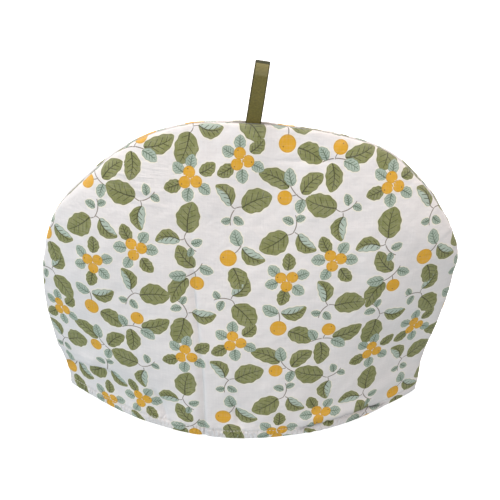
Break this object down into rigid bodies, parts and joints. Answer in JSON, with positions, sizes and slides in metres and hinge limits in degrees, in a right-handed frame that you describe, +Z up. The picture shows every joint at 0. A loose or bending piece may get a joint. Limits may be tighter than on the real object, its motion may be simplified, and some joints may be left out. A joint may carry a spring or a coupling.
{
  "type": "tea cosy",
  "caption": "Half-moon tea cosy of wadded printed cotton, standing open on its hem, with a ribbon hanging loop at the top of its seam.",
  "frame": {"origin": "on the surface it stands on, at the middle of its outline", "axes": "+X to the right along the seam's plane, +Y towards the back wall, +Z up"},
  "size_m": [0.3228, 0.1252, 0.2873],
  "materials": {
    "printed_cotton": "plain-weave cotton printed with leaves and small orange fruit, matt",
    "printed_cotton_back": "plain-weave cotton printed with leaves and small orange fruit, matt",
    "olive_ribbon": "olive grosgrain ribbon, low sheen"
  },
  "bodies": {
    "root": {"front_panel": "printed_cotton", "back_panel": "printed_cotton_back", "hanging_loop": "olive_ribbon"}
  },
  "joints": []
}
